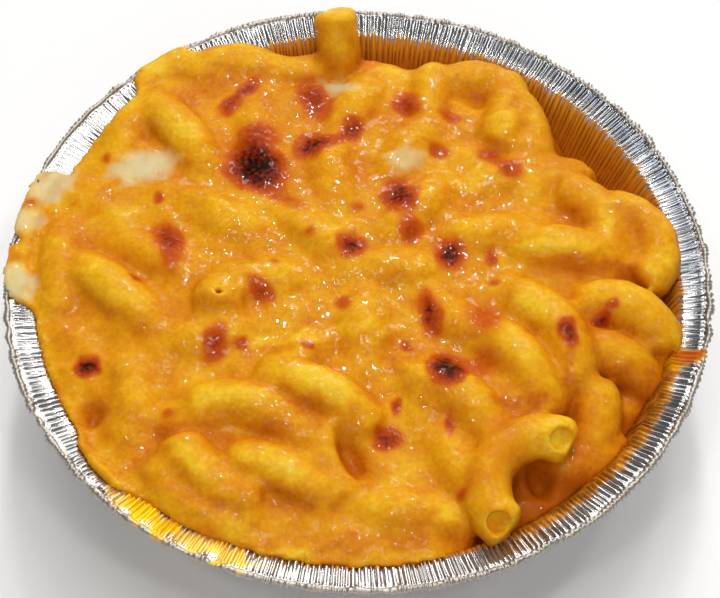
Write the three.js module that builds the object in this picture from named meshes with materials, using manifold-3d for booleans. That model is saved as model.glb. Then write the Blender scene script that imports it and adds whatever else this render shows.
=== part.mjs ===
// Macaroni and cheese, baked in a round dish of pleated aluminium foil.
//
// Millimetres, +Z up. The origin is the centre of the dish's flat underside. +Y is the far side, where the
// macaroni has drawn back from the wall, and -Y the near side, where it reaches the brim.
//
// Two meshes: the foil dish, and the heap of macaroni in its cheese, which is one piece of food. The heap is a
// core whose top is a height field, with the elbows that stand out of it fused on as true bent tubes.

import * as THREE from "three";
import { mergeVertices } from "three/addons/utils/BufferGeometryUtils.js";
import Module from "manifold-3d";

const wasm = await Module();
wasm.setup();

const { degToRad: degrees, radToDeg: toDegrees, smoothstep, lerp, clamp } = THREE.MathUtils;

// ---------------------------------------------------------------- driving dimensions

const DISH_HEIGHT = 30; // table to the top of the rolled rim
const RIM_RADIUS = 63.5; // outside of the rolled rim, a 5 inch dish
const BASE_RADIUS = 45.5; // inside, at the floor's corner
const CORNER_RADIUS = 3; // floor to wall
const BRIM_RADIUS = 57.4; // inside, at the bend where the wall opens into the brim
const BRIM_HEIGHT = 27; // of that bend
const BEAD_RADIUS = 1.05; // of the rolled edge's section
const FOIL = 0.6; // the wall's thickness, far thicker than real foil so that it is a solid
const PLEATS = 72;
const PLEAT_DEPTH = 0.35; // each side of the mean wall

const TUBE_RADIUS = 4.2; // of a cooked elbow in its coat of cheese, outside
const BORE_RADIUS = 1.7;
const BORE_DEPTH = 5; // of an open end that shows
const TUBE_SIDES = 10;
const TUBE_STEP = 3; // length of one straight stretch of a bent tube

const FOOD_GAP = 0.35 + PLEAT_DEPTH; // clear of the mean wall, so 0.35 clear of every pleat
const BRIM_RINGS = 22; // rings of the height field out to the bend, each with six more points than the last
const HEAP_RINGS = BRIM_RINGS + 2; // and past it, over the brim
const ROOM_SIDES = 60; // of the food's wall against the dish
const MOUND = 31.4; // level of the sauce at the middle
const FULL_EDGE = 28; // level at the brim where the dish is full
const SHOULDER_DROP = 3.2; // from the middle to the bay's edge
const BAY_FLOOR = 14.5; // level in the bay where the food has drawn back from the wall
const BAY_START = 43.5; // radius where the food begins to fall into the bay
const BAY_END = 51;
const BAY_FROM = -66; // the bay's angles, from near right round by +X to the far side
const BAY_TO = 106;
const BAY_FADE = 10; // degrees over which it opens and closes
const FILLET = 1.8; // how softly the cheese bridges neighbouring tubes
const FLANK_START = 0.85; // share of a tube's radius where its flank takes over from its round back
const FLANK_SLOPE = 1.6;

// Where the cheese ran out over the brim: the angle, how far past the bend, and half the width in degrees.
const SPILLS = [
  { angle: 168, reach: 5.6, half: 9 },
  { angle: 183, reach: 5.4, half: 7 },
  { angle: 134, reach: 5.8, half: 9 },
  { angle: -124, reach: 2.2, half: 10 },
];
const EDGE_REACH = 0.5; // past the bend elsewhere
const SPILL_DEPTH = 1.1; // thickness of the cheese on the brim
const SPILL_FALL = 2.5; // how soon past the bend it comes down to that

// ---------------------------------------------------------------- the elbows

// Each elbow is an arc of tube: the middle of its centre line, the heading of the tube there, its tilt above the
// horizontal, the side it bends to (roll 0 to its left, 90 down, 180 to its right), the arc's length and radius,
// how far it stands bare of the core, and which of its ends shows an open bore.
const ELBOW_FIELDS = ["x", "y", "z", "heading", "tilt", "roll", "length", "bend", "bare", "open"];
const ELBOWS = {
  far_post: [-5, 50.5, 30, 95, 60, 25, 18, 40, 4, ""],
  right_hook: [53, 10.5, 29, -72, -5, 165, 21, 10, 2.6, ""],
  near_hook: [25, -40.5, 32, -124, -22, -20, 22, 9.5, 2.2, "both"],
  near_wedge: [41.5, -28.5, 25, -110, -14, 105, 18, 12, 2.5, ""],
  near_under: [36.5, -35, 20, 30, -4, 60, 18, 12, 2, ""],
  right_crest: [48, -6.5, 29.5, -26, -4, 140, 19, 9, 1.6, ""],
  right_lower: [46.5, -15.5, 26.5, -22, -20, 130, 16, 8.5, 1.8, ""],
  right_foot: [46, -24, 20.5, -130, -8, 110, 17, 12, 2, ""],
  far_stub_1: [13, 44.5, 26, 83, 8, 80, 14, 9, 1.6, ""],
  far_stub_2: [21.5, 47.5, 26.5, 0, 3, 90, 16, 10, 1.6, ""],
  far_stub_3: [27.5, 44, 27, 85, -10, 70, 18, 12, 1.6, ""],
  far_flap: [28, 33.5, 28, 50, -12, 60, 15, 12, 1.4, "end"],
  far_slope: [31.5, 37, 26, -83, 8, 140, 17, 18, 1.6, ""],
  right_nub: [35, 23, 27, 30, -10, 140, 15, 9, 1.2, ""],
  right_ridge: [43.5, 17, 26.5, -65, 4, 150, 19, 14, 1.4, ""],
  right_log: [37, 5.5, 30, -8, -3, 100, 19, 16, 1, ""],
  right_fan_1: [35.5, -12.5, 30.5, -60, -6, 150, 21, 12, 1.2, ""],
  right_fan_2: [29, -20, 30.5, -58, -8, 110, 19, 13, 1.2, ""],
  near_fan: [18.5, -27, 30.5, -40, -6, 150, 18, 11, 1.2, ""],
  near_cross: [17.5, -39.5, 28, -64, -4, 80, 17, 14, 1.2, ""],
  near_log: [9.5, -47.5, 27, -4, -2, 95, 20, 16, 1.2, ""],
  near_arch: [-6, -27, 31, -27, -1, 105, 23, 18, 1.2, ""],
  near_pocket: [-4, -38, 27, -58, -6, 170, 17, 12, 1.2, ""],
  left_arch: [-17.5, -31.5, 29.5, -22, 0, 110, 21, 16, 1.2, ""],
  near_back: [-11, -43, 29, -22, -2, 95, 20, 14, 1.2, ""],
  left_bow: [-24.5, -42, 27.5, -40, -2, 50, 20, 14, 1.2, ""],
  rim_bow: [-23, -47, 25, -20, 0, 60, 20, 30, 1.2, ""],
  left_log: [-44.5, -6.5, 28.5, -41, 1, 90, 23, 18, 1.2, ""],
  left_end: [-51, 3, 27.5, -95, 0, 95, 19, 16, 1.2, ""],
  left_pillar: [-24.5, -7, 27.5, 105, -78, 0, 12, 40, 0.8, "start"],
  far_left_log: [-34, 30.5, 29, -54, 3, 110, 22, 18, 1.2, ""],
  far_left_bow: [-43.5, 33.5, 26.5, 62, 0, 165, 22, 15, 1.2, ""],
  far_left_top: [-25, 49.5, 27, 2, 0, 155, 20, 13, 1.2, ""],
  left_lower: [-37.5, -27.5, 27.5, -82, -3, 130, 18, 13, 1.2, ""],
};

// Under the cheese of the middle lie more, which only lift it: a sunflower spiral, each turned on from the last.
const BURIED = 22;
const BURIED_REACH = 40;
const BURIED_DEPTH = 2.6; // centre line below the sauce's level
const BURIED_COAT = 0.6;
const GOLDEN_TURN = 137.508;

function makeElbow(row) {
  const elbow = Object.fromEntries(ELBOW_FIELDS.map((field, i) => [field, row[i]]));
  const [heading, tilt, roll] = [elbow.heading, elbow.tilt, elbow.roll].map(degrees);
  const along = new THREE.Vector3(Math.cos(heading), Math.sin(heading), Math.tan(tilt)).normalize();
  const left = new THREE.Vector3(-Math.sin(heading), Math.cos(heading), 0);
  const down = new THREE.Vector3().crossVectors(left, along);
  elbow.along = along;
  elbow.inward = left.multiplyScalar(Math.cos(roll)).addScaledVector(down, Math.sin(roll));
  elbow.middle = new THREE.Vector3(elbow.x, elbow.y, elbow.z);
  elbow.line = Array.from({ length: 11 }, (_, i) => pointOn(elbow, (i / 10 - 0.5) * elbow.length));
  return elbow;
}

// A point of an elbow's centre line, at a distance along the arc from its middle.
function pointOn({ middle, along, inward, bend }, distance) {
  const turn = distance / bend;
  const point = middle.clone().addScaledVector(along, bend * Math.sin(turn));
  return point.addScaledVector(inward, bend * (1 - Math.cos(turn)));
}

function buriedElbow(i) {
  const radius = BURIED_REACH * Math.sqrt((i + 0.5) / BURIED);
  const angle = degrees(i * GOLDEN_TURN);
  const [x, y] = [radius * Math.cos(angle), radius * Math.sin(angle)];
  const z = sauceLevel(x, y) - BURIED_DEPTH;
  return makeElbow([x, y, z, i * GOLDEN_TURN * 2.3, 0, 100, 19, 14, -BURIED_COAT, ""]);
}

const elbows = Object.values(ELBOWS).map(makeElbow);
elbows.push(...Array.from({ length: BURIED }, (_, i) => buriedElbow(i)));

// ---------------------------------------------------------------- the heap's height

// 1 in the bay where the food has drawn back from the wall, 0 where the dish is full.
function bayShare(angle) {
  const opened = smoothstep(angle, BAY_FROM - BAY_FADE, BAY_FROM + BAY_FADE);
  return opened * (1 - smoothstep(angle, BAY_TO - BAY_FADE, BAY_TO + BAY_FADE));
}

// Height of the sauce before any elbow lifts it: a low mound that falls away into the bay.
function sauceLevel(x, y) {
  const radius = Math.hypot(x, y);
  const full = MOUND - (MOUND - FULL_EDGE) * (radius / BRIM_RADIUS) ** 2;
  const shoulder = MOUND - SHOULDER_DROP * (radius / BAY_END) ** 2;
  const bay = lerp(shoulder, BAY_FLOOR, smoothstep(radius, BAY_START, BAY_END));
  return lerp(full, bay, bayShare(toDegrees(Math.atan2(y, x))));
}

// Top of the core over one elbow: round near the elbow's centre line, then a steep flank.
function elbowTop(elbow, x, y) {
  const radius = TUBE_RADIUS - elbow.bare;
  const shoulder = FLANK_START * radius;
  let best = -Infinity;
  for (let i = 1; i < elbow.line.length; i++) {
    const [a, b] = [elbow.line[i - 1], elbow.line[i]];
    const [dx, dy] = [b.x - a.x, b.y - a.y];
    const t = clamp(((x - a.x) * dx + (y - a.y) * dy) / (dx * dx + dy * dy), 0, 1);
    const away = Math.hypot(x - a.x - t * dx, y - a.y - t * dy);
    const near = Math.min(away, shoulder);
    const back = Math.sqrt(radius * radius - near * near) - FLANK_SLOPE * (away - near);
    best = Math.max(best, lerp(a.z, b.z, t) + back);
  }
  return best;
}

// The larger of two heights, rounded off where they meet within a fillet of each other.
function softMax(a, b) {
  const near = Math.max(FILLET - Math.abs(a - b), 0) / FILLET;
  return Math.max(a, b) + (near * near * FILLET) / 4;
}

function insideHeight(x, y) {
  return elbows.reduce((height, elbow) => softMax(height, elbowTop(elbow, x, y)), sauceLevel(x, y));
}

// How far past the bend the cheese runs over the brim at an angle.
function spillReach(angle) {
  const spills = SPILLS.map((spill) => {
    const off = Math.abs(((angle - spill.angle + 540) % 360) - 180);
    return spill.reach * (1 - smoothstep(off, spill.half * 0.6, spill.half * 1.4));
  });
  return EDGE_REACH + Math.max(...spills);
}

// Top of the food at a place. On the brim it thins to nothing at the reach of the spill there.
function heapHeight(x, y) {
  const radius = Math.hypot(x, y);
  if (radius <= BRIM_RADIUS) return insideHeight(x, y);
  const share = BRIM_RADIUS / radius;
  const edge = insideHeight(x * share, y * share) - BRIM_HEIGHT - FOOD_GAP;
  if (edge < 0) return BAY_FLOOR;
  const depth = lerp(edge, SPILL_DEPTH, smoothstep(radius, BRIM_RADIUS, BRIM_RADIUS + SPILL_FALL));
  const past = (radius - BRIM_RADIUS) / spillReach(toDegrees(Math.atan2(y, x)));
  return brimTop(radius) + FOOD_GAP + depth * (1 - past * past);
}

// ---------------------------------------------------------------- the dish

const BEAD = { radius: RIM_RADIUS - BEAD_RADIUS, height: DISH_HEIGHT - BEAD_RADIUS }; // its centre
const BRIM_END = { radius: BEAD.radius - BEAD_RADIUS, height: BEAD.height - 0.3 };
const BRIM_SLOPE = (BRIM_END.height - BRIM_HEIGHT) / (BRIM_END.radius - BRIM_RADIUS);
const WALL_LEAN = toDegrees(Math.atan2(BRIM_RADIUS - BASE_RADIUS, BRIM_HEIGHT - CORNER_RADIUS));
const BRIM_LEAN = 90 - toDegrees(Math.atan(BRIM_SLOPE));

// The dish's inner face, from the floor to the rolled edge. A station has a radius, a height, the depth of the
// pleats there, and the direction in degrees that the foil's underside faces: 0 outwards, -90 down.
function innerFace() {
  const centre = BASE_RADIUS - CORNER_RADIUS;
  const corner = [0, 45, 90 - WALL_LEAN].map((turn) => ({
    radius: centre + CORNER_RADIUS * Math.sin(degrees(turn)),
    height: FOIL + CORNER_RADIUS * (1 - Math.cos(degrees(turn))),
    pleat: PLEAT_DEPTH * (turn > 45 ? 0.5 : 0),
    facing: turn - 90,
  }));
  const facing = -(WALL_LEAN + BRIM_LEAN) / 2;
  const bend = { radius: BRIM_RADIUS, height: BRIM_HEIGHT, pleat: PLEAT_DEPTH, facing };
  return [...corner, bend, { ...BRIM_END, pleat: PLEAT_DEPTH * 0.7, facing: -BRIM_LEAN }];
}

function beadStations(radius, pleat) {
  return [155, 105, 55, 5, -50].map((facing) => ({
    radius: BEAD.radius + radius * Math.cos(degrees(facing)),
    height: BEAD.height + radius * Math.sin(degrees(facing)),
    pleat,
    facing,
  }));
}

// A station moved off its place along its facing.
function pushed({ radius, height, facing, pleat }, distance) {
  return {
    radius: radius + distance * Math.cos(degrees(facing)),
    height: height + distance * Math.sin(degrees(facing)),
    pleat,
    facing,
  };
}

// Height of the foil at a radius beyond the bend, which spilled cheese lies on.
function brimTop(radius) {
  if (radius < BRIM_END.radius) return BRIM_HEIGHT + BRIM_SLOPE * (radius - BRIM_RADIUS);
  const across = Math.min(Math.abs(radius - BEAD.radius), BEAD_RADIUS);
  return BEAD.height + Math.sqrt(BEAD_RADIUS ** 2 - across ** 2);
}

// Foil turned round the Z axis as a closed shell, alternate columns pushed in and out to make the pleats.
function foilDish() {
  const inner = innerFace();
  const outer = inner.map((station) => pushed(station, FOIL)).reverse();
  const section = [...inner, ...beadStations(BEAD_RADIUS, 0.08), ...outer];
  const columns = 2 * PLEATS;
  const points = [[0, 0, FOIL]];
  for (const station of section)
    for (let c = 0; c < columns; c++) {
      const { radius, height } = pushed(station, c % 2 ? station.pleat : -station.pleat);
      const angle = (2 * Math.PI * c) / columns;
      points.push([radius * Math.cos(angle), radius * Math.sin(angle), height]);
    }
  points.push([0, 0, 0]);
  const [last, under] = [section.length - 1, points.length - 1];
  const at = (row, c) => 1 + row * columns + (c % columns);
  const faces = [];
  for (let c = 0; c < columns; c++) {
    faces.push([0, at(0, c), at(0, c + 1)], [under, at(last, c + 1), at(last, c)]);
    for (let row = 0; row < last; row++)
      faces.push(...quad(at(row, c), at(row + 1, c), at(row + 1, c + 1), at(row, c + 1)));
  }
  return closedGeometry(points, faces);
}

// ---------------------------------------------------------------- the heap

// A solid disc whose top follows the heap's height: ring k of its net has 6k points.
function heapCore() {
  const points = [[0, 0, heapHeight(0, 0)]];
  const faces = [];
  const at = (ring, i) => (ring ? 1 + 3 * ring * (ring - 1) + (i % (6 * ring)) : 0);
  for (let ring = 1; ring <= HEAP_RINGS; ring++)
    for (let i = 0; i < 6 * ring; i++) {
      const angle = (2 * Math.PI * i) / (6 * ring);
      const radius = (BRIM_RADIUS * ring) / BRIM_RINGS;
      const [x, y] = [radius * Math.cos(angle), radius * Math.sin(angle)];
      points.push([x, y, heapHeight(x, y)]);
      const inner = i - Math.floor(i / ring);
      faces.push([at(ring, i), at(ring, i + 1), at(ring - 1, inner)]);
      if (i % ring < ring - 1) faces.push([at(ring - 1, inner), at(ring, i + 1), at(ring - 1, inner + 1)]);
    }
  const rim = Array.from({ length: 6 * HEAP_RINGS }, (_, i) => at(HEAP_RINGS, i));
  const under = points.length;
  points.push(...rim.map((i) => [points[i][0], points[i][1], -FOIL]), [0, 0, -FOIL]);
  rim.forEach((top, i) => {
    const next = (i + 1) % rim.length;
    faces.push(...quad(top, under + i, under + next, rim[next]), [under + i, points.length - 1, under + next]);
  });
  return closedGeometry(points, faces);
}

// The room that the food may fill: the dish's inside, clear of every pleat, and all that is over the rim.
function dishRoom() {
  const face = innerFace().map((station) => pushed(station, -FOOD_GAP));
  const bead = beadStations(BEAD_RADIUS + FOOD_GAP, 0).slice(0, 4);
  const outline = [...face, ...bead].map(({ radius, height }) => new THREE.Vector2(radius, height));
  const floor = new THREE.Vector2(0, face[0].height);
  const lid = [RIM_RADIUS + FOOD_GAP, 0].map((radius) => new THREE.Vector2(radius, 2 * DISH_HEIGHT));
  return new THREE.LatheGeometry([floor, ...outline, ...lid], ROOM_SIDES).rotateX(Math.PI / 2);
}

// The stretch of an elbow's centre line between two distances from its middle.
class ElbowLine extends THREE.Curve {
  constructor(elbow, from, to) {
    super();
    Object.assign(this, { elbow, from, to });
  }
  getPoint(t) {
    return pointOn(this.elbow, lerp(this.from, this.to, t));
  }
}

function tube(elbow, radius, from, to) {
  const section = new THREE.Shape().absarc(0, 0, radius, 0, 2 * Math.PI);
  const steps = Math.round((to - from) / TUBE_STEP);
  const extrudePath = new ElbowLine(elbow, from, to);
  return new THREE.ExtrudeGeometry(section, { curveSegments: TUBE_SIDES / 2, steps, extrudePath });
}

function bores(elbow) {
  const half = elbow.length / 2;
  const start = tube(elbow, BORE_RADIUS, -half - 1, BORE_DEPTH - half);
  const end = tube(elbow, BORE_RADIUS, half - BORE_DEPTH, half + 1);
  return { start: [start], end: [end], both: [start, end] }[elbow.open] ?? [];
}

function heap() {
  let food = solid(heapCore());
  for (const elbow of elbows.filter(({ bare }) => bare > 0))
    food = food.add(solid(tube(elbow, TUBE_RADIUS, -elbow.length / 2, elbow.length / 2)));
  for (const bore of elbows.flatMap(bores)) food = food.subtract(solid(bore));
  food = food.intersect(solid(dishRoom()));
  const [largest] = food.decompose().sort((a, b) => b.volume() - a.volume());
  const { vertProperties, triVerts } = largest.getMesh();
  const geometry = new THREE.BufferGeometry();
  geometry.setAttribute("position", new THREE.BufferAttribute(vertProperties, 3));
  return geometry.setIndex(new THREE.BufferAttribute(triVerts, 1));
}

// ---------------------------------------------------------------- meshes

function quad(a, b, c, d) {
  return [
    [a, b, c],
    [a, c, d],
  ];
}

function closedGeometry(points, faces) {
  const geometry = new THREE.BufferGeometry();
  geometry.setAttribute("position", new THREE.Float32BufferAttribute(points.flat(), 3));
  return geometry.setIndex(faces.flat());
}

function solid(geometry) {
  const bare = geometry.clone().deleteAttribute("normal").deleteAttribute("uv");
  const merged = mergeVertices(bare, 1e-4);
  const vertProperties = merged.attributes.position.array;
  const triVerts = new Uint32Array(merged.index.array);
  return new wasm.Manifold(new wasm.Mesh({ numProp: 3, vertProperties, triVerts }));
}

function part(name, geometry, finish) {
  const mesh = new THREE.Mesh(geometry, new THREE.MeshStandardMaterial(finish));
  mesh.name = name;
  return mesh;
}

const macaroniCheese = new THREE.Group();
macaroniCheese.add(
  part("foil_dish", foilDish(), { color: 0xc9c8c6, roughness: 0.28, metalness: 1 }),
  part("macaroni_heap", heap(), { color: 0xe8a01c, roughness: 0.4, metalness: 0 }),
);

export default macaroniCheese;
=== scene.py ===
"""Macaroni and cheese, baked in a round dish of pleated aluminium foil.

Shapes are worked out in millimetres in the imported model's frame, and go into their meshes in metres. The
food is one surface, where a field built from the sauce's level and the elbows' arcs is nought, so the melted
cheese runs from elbow to elbow without a seam. The foil is a profile carried round the axis, pleat by pleat.
"""

import math
from types import SimpleNamespace

import bpy
import numpy as np
from mathutils import Matrix, Vector


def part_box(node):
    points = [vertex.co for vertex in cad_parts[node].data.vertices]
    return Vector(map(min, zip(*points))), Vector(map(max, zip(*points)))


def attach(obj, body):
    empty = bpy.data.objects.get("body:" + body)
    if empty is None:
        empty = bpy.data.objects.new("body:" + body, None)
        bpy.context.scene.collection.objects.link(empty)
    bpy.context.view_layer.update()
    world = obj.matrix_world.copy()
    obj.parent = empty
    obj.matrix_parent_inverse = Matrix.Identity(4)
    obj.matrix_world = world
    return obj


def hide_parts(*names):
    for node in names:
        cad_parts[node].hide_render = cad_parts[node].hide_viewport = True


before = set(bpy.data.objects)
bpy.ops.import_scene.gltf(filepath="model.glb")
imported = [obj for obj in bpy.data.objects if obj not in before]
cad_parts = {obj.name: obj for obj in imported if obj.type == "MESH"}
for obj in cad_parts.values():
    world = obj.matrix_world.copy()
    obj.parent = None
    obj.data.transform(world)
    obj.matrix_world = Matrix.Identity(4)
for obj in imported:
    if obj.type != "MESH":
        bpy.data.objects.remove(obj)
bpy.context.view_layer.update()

# ---------------------------------------------------------------- driving dimensions, in millimetres

MM = 0.001  # of a metre
dish_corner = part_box("foil_dish")[1]
RIM_RADIUS = dish_corner.x / MM
DISH_HEIGHT = dish_corner.z / MM
BASE_RADIUS = 45.5  # inside, at the floor's corner
CORNER_RADIUS = 3.0
BRIM_RADIUS = 57.4  # inside, at the bend where the wall opens into the brim
BRIM_HEIGHT = 28.1
BEAD_RADIUS = 0.8
BEAD = (RIM_RADIUS - BEAD_RADIUS, DISH_HEIGHT - BEAD_RADIUS)  # centre of the rolled edge: radius, height
BEAD_TURNS = (165, 140, 115, 90, 65, 40, 15, -10, -40, -75)  # where its stations face, in degrees
BRIM_END = (BEAD[0] - 0.75, BEAD[1] + 0.2)
BRIM_COSINE = 0.98  # of the brim's slope
BRIM_SAG = 0.15
BEND = 0.3  # half the width over which one slope, or one look, passes into the next
FOIL = 0.6  # several times the real thickness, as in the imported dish
FLOOR_RINGS = (12.0, 30.0)
CORNER_STATIONS = 5
WALL_STATIONS = 7  # on the wall, and as many on the brim

PLEATS = 390  # about a millimetre apart at the brim, as the press makes them
PLEAT_DEPTH = 0.4
PLEAT_WIDTHS = (0.55, 1.45)  # least and greatest, against the mean
# A pleat has four columns of points. The first starts it, and the others follow by a share of its width.
# Each is lifted by a share of the depth: a narrow crease, then a plateau.
COLUMN_STARTS = (0.22, 0.45, 0.7)
COLUMN_SPREAD = 0.1
COLUMN_LIFTS = ((-1.2, -0.7), (0.0, 0.7), (0.4, 1.0), (0.0, 0.7))
# Share of the depth up the section: at the corner, at the wall's foot and what more at its top, at the bend
# and what less at the brim's end, and on the rolled edge. Outside it is greater by a factor, up to a limit.
CORNER_SHARE = 0.3
WALL_SHARE = (0.2, 0.3)
BRIM_SHARE = (1.0, 0.2)
BEAD_SHARE = 0.4
OUTER_SHARE = (2.5, 0.9)
SLANT = (0.010, 0.004)  # how far the pleats' lean wanders, and its mean
SLANT_HEIGHT = 0.8  # share of the wall's height where a slanting pleat crosses its own angle
SLANT_REACH = 1.6
SLANT_FOOT = 5.0  # height where the slant begins
CRUSHED = (0.95, 0.3)  # mean factor on the pleats' depth, and what more on the crushed side
CRUSHED_SIDE = math.radians(25)
CRUSHED_WANDER = 0.6
CREASE_LIMITS = (0.25, 1.7)
CRUMPLE = (0.30, 0.25)  # of the rolled edge: lumps, and how far it is pressed in
DENT = (0.30, 0.30)  # of the whole rim: waves, and how far it is pressed in
DENT_OUT = 0.6
DENT_UP = 0.5

TUBE_RADIUS = 4.2
LINE_POINTS = 11  # on an elbow's centre line
END_ROUNDING = 2.4  # of an elbow's end under its coat of cheese
BARE = 2.0  # an elbow that stands this far clear of the core keeps its own outline
CLEAN = 2.4  # one this far clear has no coat of cheese either
COAT = 0.4
BARE_FILLET = 0.8  # at a bare elbow's foot, and wider by what another lacks of standing bare
BORE_LIP = 0.5
MOUND = 31.9
FULL_EDGE = 28.9
SHOULDER_DROP = 3.2
BAY_FLOOR = 14.5
BAY_START = 43.5
BAY_END = 51.0
BAY_FROM = -66.0
BAY_TO = 106.0
BAY_FADE = 10.0
FILLET = 2.0
FLANK_START = 0.85
FLANK_SLOPE = 1.6
SWELL = 0.28  # height of the sauce's relief, from the broadest form to the finest
RIPPLE = 0.12
CRUST_GRAIN = 0.08  # on the dried top alone
SKIN_RIPPLE = 0.12  # on all the food, bare elbows too
SKIN_GRAIN = 0.07
CRUST_MIDDLE = (-1, 4)
CRUST_EDGE = (22, 44)  # radius up to which the top is dried, and past which it is not
CRUST_WANDER = 6
NET_PITCH = 0.59  # of the grid that the food's surface is found on
NET_MARGIN = 1  # of that grid past the rim and the food's top
STEEPEST = 3  # slope past which the core's field is scaled down no further
FOOD_FLOOR = 1.3  # underside of the food
FILL_ROUNDS = 6
FILLED = 0.02  # how far inside a corner goes that is filled in
INTO_FOIL = 0.2  # how far the food reaches past the foil's mean face, so that it lies in the pleats
# The rise: how pale the cheese is. Raised points and level faces are made paler as painted light, hollows and
# steep sides deeper orange as painted shade, besides the real colour of thin and thick cheese.
MEAN_REACH = 4.5  # half the side of the square that a point's height is compared with
RISE_CUT = 2.0  # deeper than this under the mound, the heights round a point don't count
RISE_HEIGHT = 10.0  # over the heights round it, where a point would be palest
RISE_LIMITS = (-0.4, 0.19)
FACING_SHARE = 0.25  # of the rise: for a level surface, against one that tips by more than the middle; level faces get painted light and steep ones painted shade
FACING_MIDDLE = 0.85
FACING_LEAST = 0.5
TINT_SHARE = 0.18
RUDDY_SHARE = 1.1
RIM_SHARE = (0.1, 0.12)  # for the food's thin edge: mean, and how far it wanders
RIM_BAND = (54, 57.5)
CREVICE_DEPTH = 2.2  # of a crevice, over its width
CREVICE_TAPER = 0.6
CREVICE_LIP = 1.8

# Lobes of cheese over the brim: angle, how far past the bend, half the width in degrees.
SPILLS = [
    (130, 5.4, 6.5),
    (166, 5.2, 5.5),
    (172.5, 5.4, 5.5),
    (180, 5.4, 7.0),
    (-135, 2.2, 7),
]
SPILL_SIDES = (0.4, 1.4)  # shares of that half width where a lobe starts to narrow and where it is gone
SPILL_WANDER = 2.0
SPILL_DEPTH = 1.7
SPILL_FALL = 2.5
SPILL_RELIEF = 0.25
EDGE_REACH = 0.5  # past the bend, where nothing spilt
EDGE_WANDER = 0.7
LEAST_REACH = 0.1

# Middle of the centre line, heading, tilt, side it bends to, length, radius of the bend, how far it stands
# bare of the core, and its open ends.
ELBOWS = {
    "far_post": (-5, 50.5, 30, 95, 60, 25, 18, 40, 4, ""),
    "right_hook": (53.2, 9, 29.4, -71, -3, 176, 22, 9, 2.6, ""),
    "right_fill": (47.5, 9, 26.8, -80, 0, 90, 14, 20, 0.4, ""),
    "near_hook": (23.7, -38.4, 30.7, -124, -3, 1, 29.0, 9.6, 2.5, "both"),
    "near_wedge": (41.2, -29, 25.2, -104, -18, 146, 16, 11.5, 2.3, ""),
    "near_under": (38.8, -35, 23, 16, 0, 35, 17, 13.8, 1.9, ""),
    "near_sauce": (31, -42.5, 19.5, 20, 0, 90, 13, 20, 0.8, ""),
    "right_crest": (48, -6.5, 29.5, -26, -4, 140, 19, 9, 1.6, ""),
    "right_lower": (46.5, -15.5, 26.5, -22, -20, 130, 16, 8.5, 1.8, ""),
    "right_foot": (46, -24, 20.5, -130, -8, 110, 17, 12, 2, ""),
    "far_stub_1": (12.7, 42.1, 27.5, 81, 2, 24, 13.3, 43, 1.7, ""),
    "far_stub_2": (20.8, 46.6, 27.3, 5, -3, 139, 11, 10, 1.8, ""),
    "far_stub_3": (27.2, 40.5, 27.2, 86, -4, 20, 14, 20, 1.7, ""),
    "far_flap": (26.2, 32.8, 28.8, -93, -13, 185, 8, 10, 1.6, ""),
    "far_pit": (20.5, 42.5, 23.5, 20, 0, 90, 12, 20, 0.4, ""),
    "far_notch": (5.0, 46.5, 25.2, -20, 0, 90, 12, 20, 0.8, ""),
    "post_foot": (-10.5, 48, 25.8, 5, 0, 90, 14, 20, 0.8, ""),
    "far_slope": (31.2, 34.5, 27, -79, 4, 197, 16, 22.8, 1.6, ""),
    "right_nub": (35, 23, 27, 30, -10, 140, 15, 9, 1.2, ""),
    "right_ridge": (43.4, 14.5, 28.6, -61, 0, 171, 18.5, 11.8, 1.6, ""),
    "right_log": (37, 5.5, 30, -8, -3, 100, 19, 16, 1, ""),
    "right_fan_1": (35.5, -12.5, 30.5, -60, -6, 150, 21, 12, 1.2, ""),
    "right_fan_2": (29, -20, 30.5, -58, -8, 110, 19, 13, 1.2, ""),
    "near_fan": (18.5, -27, 30.5, -40, -6, 150, 18, 11, 1.2, ""),
    "near_cross": (17.5, -39.5, 28, -64, -4, 80, 17, 14, 1.2, ""),
    "near_log": (9.5, -47.5, 27, -4, -2, 95, 20, 16, 1.2, ""),
    "near_arch": (-6, -26.4, 31, -27, -1, 120, 22.5, 19, 1.95, ""),
    "near_pocket": (-3.4, -37.6, 27.6, -59, -5, 172, 17.7, 11.8, 1.7, ""),
    "left_arch": (-16.8, -29.3, 29.8, -18, -3, 150, 21.5, 14, 1.95, ""),
    "near_back": (-11.3, -41.6, 28.9, -23, -3, 120, 19.6, 20, 1.95, ""),
    "left_bow": (-23.8, -43, 28.2, -37, -5, 3, 19.2, 18.7, 1.8, ""),
    "rim_bow": (-25.8, -47.8, 26.3, -32, -4, 1, 22.8, 16.3, 1.9, ""),
    "left_log": (-42.5, -6.4, 29.2, -41, 0, 100, 21.5, 24, 1.5, ""),
    "left_end": (-53.5, -0.5, 27.3, -86, 0, 95, 19, 20, 1.4, ""),
    "left_pillar": (-24.5, -7, 27.4, 105, -78, 0, 12, 40, 1.5, "start"),
    "far_left_log": (-34.3, 31, 29.2, -54, 3, 105, 21, 18, 1.6, ""),
    "far_left_bow": (-43.5, 33.5, 26.5, 62, 0, 165, 22, 15, 1.2, ""),
    "far_left_top": (-25, 49.5, 27, 2, 0, 155, 20, 13, 1.2, ""),
    "left_lower": (-37.5, -27.5, 27.5, -82, -3, 130, 18, 13, 1.2, ""),
}
# Open ends that show: radius and depth of the bore, and how much the slanting cut faces up and to the near
# side. Sauce fills most of the near hook's.
BORES = {"near_hook": (2.05, 1.4, 1.5), "left_pillar": (0.65, 5.0, 0.0)}
MOUTH_WAY = (0.0, -0.5, 0.87)
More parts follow.
